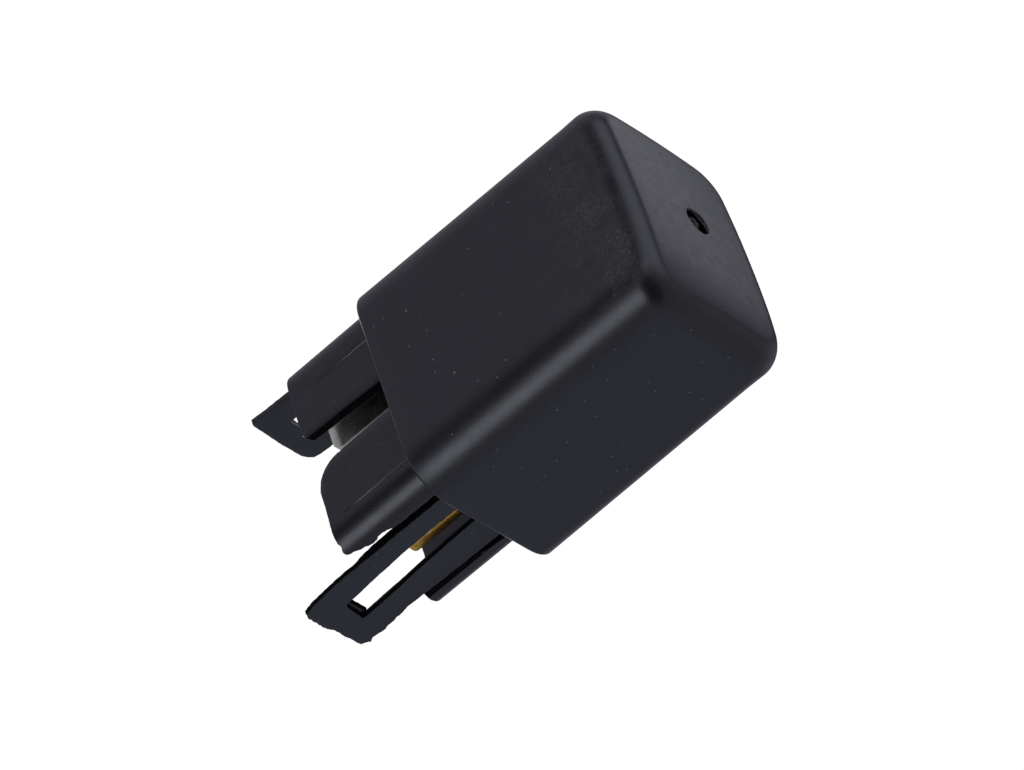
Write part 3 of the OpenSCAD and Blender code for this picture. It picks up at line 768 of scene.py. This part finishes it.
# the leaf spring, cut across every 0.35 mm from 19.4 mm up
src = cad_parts["return_spring"]
bm = bmesh.new()
bm.from_mesh(src.data)
bm.transform(src.matrix_world)
bmesh.ops.remove_doubles(bm, verts=bm.verts[:], dist=1e-7)
for k in range(14):
    bmesh.ops.bisect_plane(bm, geom=bm.verts[:] + bm.edges[:] + bm.faces[:], dist=1e-7, plane_co=(0, 0, (19.4 + 0.35 * k) * MM), plane_no=(0, 0, 1))
spring = to_object(bm, "leaf_spring")
spring.data.materials.append(bronze)
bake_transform(spring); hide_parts("return_spring")

nylon = polymer("bobbin_nylon", (0.66, 0.62, 0.50), (0.58, 0.53, 0.40))
tape = polymer("polyester_tape", (0.62, 0.36, 0.06), (0.50, 0.27, 0.04), 0.25, 1.5, 0.3)
LOOK = dict(yoke=iron, core=iron, armature=iron, bobbin=nylon, coil_winding=copper, coil_tape=tape, coil_lead_front=copper, coil_lead_back=copper, backstop=brass,
            fixed_contact=silver, moving_contact=silver, yoke_rivets=steel, armature_rivets=steel)
for node, mat in LOOK.items():
    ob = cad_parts[node]
    if not ob.material_slots:
        ob.data.materials.append(mat)
    for s in ob.material_slots:
        s.material = mat

# ---------------------------------------------------------------- floor and light
bm = bmesh.new()
bmesh.ops.create_grid(bm, x_segments=1, y_segments=1, size=6.0)
floor_me = bpy.data.meshes.new("floor")
bm.to_mesh(floor_me)
bm.free()
floor = bpy.data.objects.new("floor", floor_me)
scene.collection.objects.link(floor)
floor.location = (0, 0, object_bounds()[0].z - 0.00005)
mat, t = material("studio_white")
e = t.n("ShaderNodeEmission", Color=(1, 1, 1, 1), Strength=1.05)
clear = t.n("ShaderNodeBsdfTransparent")
mx = t.n("ShaderNodeMixShader")
t.put(mx.inputs[0], t.n("ShaderNodeNewGeometry").outputs["Backfacing"])
t.t.links.new(e.outputs[0], mx.inputs[1])
t.t.links.new(clear.outputs[0], mx.inputs[2])
out = t.n("ShaderNodeOutputMaterial")
t.t.links.new(mx.outputs[0], out.inputs["Surface"])
floor.data.materials.append(mat)
floor.visible_glossy = False
floor.visible_diffuse = False
floor.visible_shadow = False

world = bpy.data.worlds.new("studio")
scene.world = world
world.use_nodes = True
t = Tree(world.node_tree)
tc = t.n("ShaderNodeTexCoord")
d = t.vmath("NORMALIZE", tc.outputs["Generated"])
colour = t.n("ShaderNodeCombineXYZ", X=0.385, Y=0.385, Z=0.455).outputs[0]
# soft boxes and dim zones round the part: azimuth and height of the centre, angle where
# each ends, angle inside which it is full (all in degrees), and what it adds
LOBES = [
    (310, -20, 21, 2, (2.72, 2.88, 3.2)),         # box that draws the upright corner's strip
    (316, -6, 17, 4, (0.40, 0.45, 0.50)),
    (264, -21, 21, 6, (-0.30, -0.30, -0.34)),    # dim zone beside it
    (22, -20, 28, 8, (0.08, 0.11, 0.17)),        # cool light on the narrow side
    (44, -21, 22, 8, (-0.03, 0.0, 0.05)),
    (15, 18, 36, 12, (0.07, 0.07, 0.09)),
    (224, -21, 24, 8, (0.02, -0.005, 0.02)),     # warmer light on the wide front
    (322, 29, 40, 20, (-0.44, -0.44, -0.50)),    # unlit quarter behind the camera
    (192, 58, 36, 9, (0.74, 0.78, 0.92)),        # box over the top's front edge
    (246, 47, 19, 5, (0.80, 0.85, 0.98)),
    (222, 24, 25, 8, (-0.27, -0.27, -0.30)),
    (232, -3, 13, 4, (0.08, 0.08, 0.10)),
    (150, 32, 17, 6, (-0.36, -0.36, -0.40)),
    (170, 22, 18, 6, (-0.20, -0.20, -0.23)),
    (122, 34, 20, 8, (-0.17, -0.17, -0.18)),
    (112, 8, 22, 8, (-0.10, -0.10, -0.11)),
    (136, 19, 11, 2, (0.42, 0.41, 0.45)),        # what the top itself mirrors
    (141, 23, 11, 3, (0.38, 0.40, 0.42)),
    (130, 11, 12, 3, (-0.40, -0.40, -0.42)),
    (130, -8, 22, 6, (-0.28, -0.28, -0.31)),
    (85, -24, 28, 8, (-0.20, -0.20, -0.23)),
    (172, -25, 26, 8, (-0.08, -0.08, -0.09)),
    (140, -46, 24, 8, (1.1, 1.15, 1.3)),         # light thrown back from below, seen in the rim's bevel
]
for az, el, outer, inner, amp in LOBES:
    az, el = math.radians(az), math.radians(el)
    dot = t.vmath("DOT_PRODUCT", d, (math.cos(el) * math.cos(az), math.cos(el) * math.sin(az), math.sin(el)), out=1)
    k = t.span(dot, math.cos(math.radians(outer)), math.cos(math.radians(inner)))
    colour = t.vmath("MULTIPLY_ADD", amp, t.n("ShaderNodeCombineXYZ", X=k, Y=k, Z=k).outputs[0], colour)
colour = t.vmath("MAXIMUM", colour, (0.015, 0.015, 0.018))
bg1 = t.n("ShaderNodeBackground", Color=colour, Strength=1.0)
bg2 = t.n("ShaderNodeBackground", Color=(1, 1, 1, 1), Strength=1.0)
lp = t.n("ShaderNodeLightPath")
mx = t.n("ShaderNodeMixShader")
t.put(mx.inputs[0], lp.outputs["Is Camera Ray"])
t.t.links.new(bg1.outputs[0], mx.inputs[1])
t.t.links.new(bg2.outputs[0], mx.inputs[2])
out = t.n("ShaderNodeOutputWorld")
t.t.links.new(mx.outputs[0], out.inputs["Surface"])
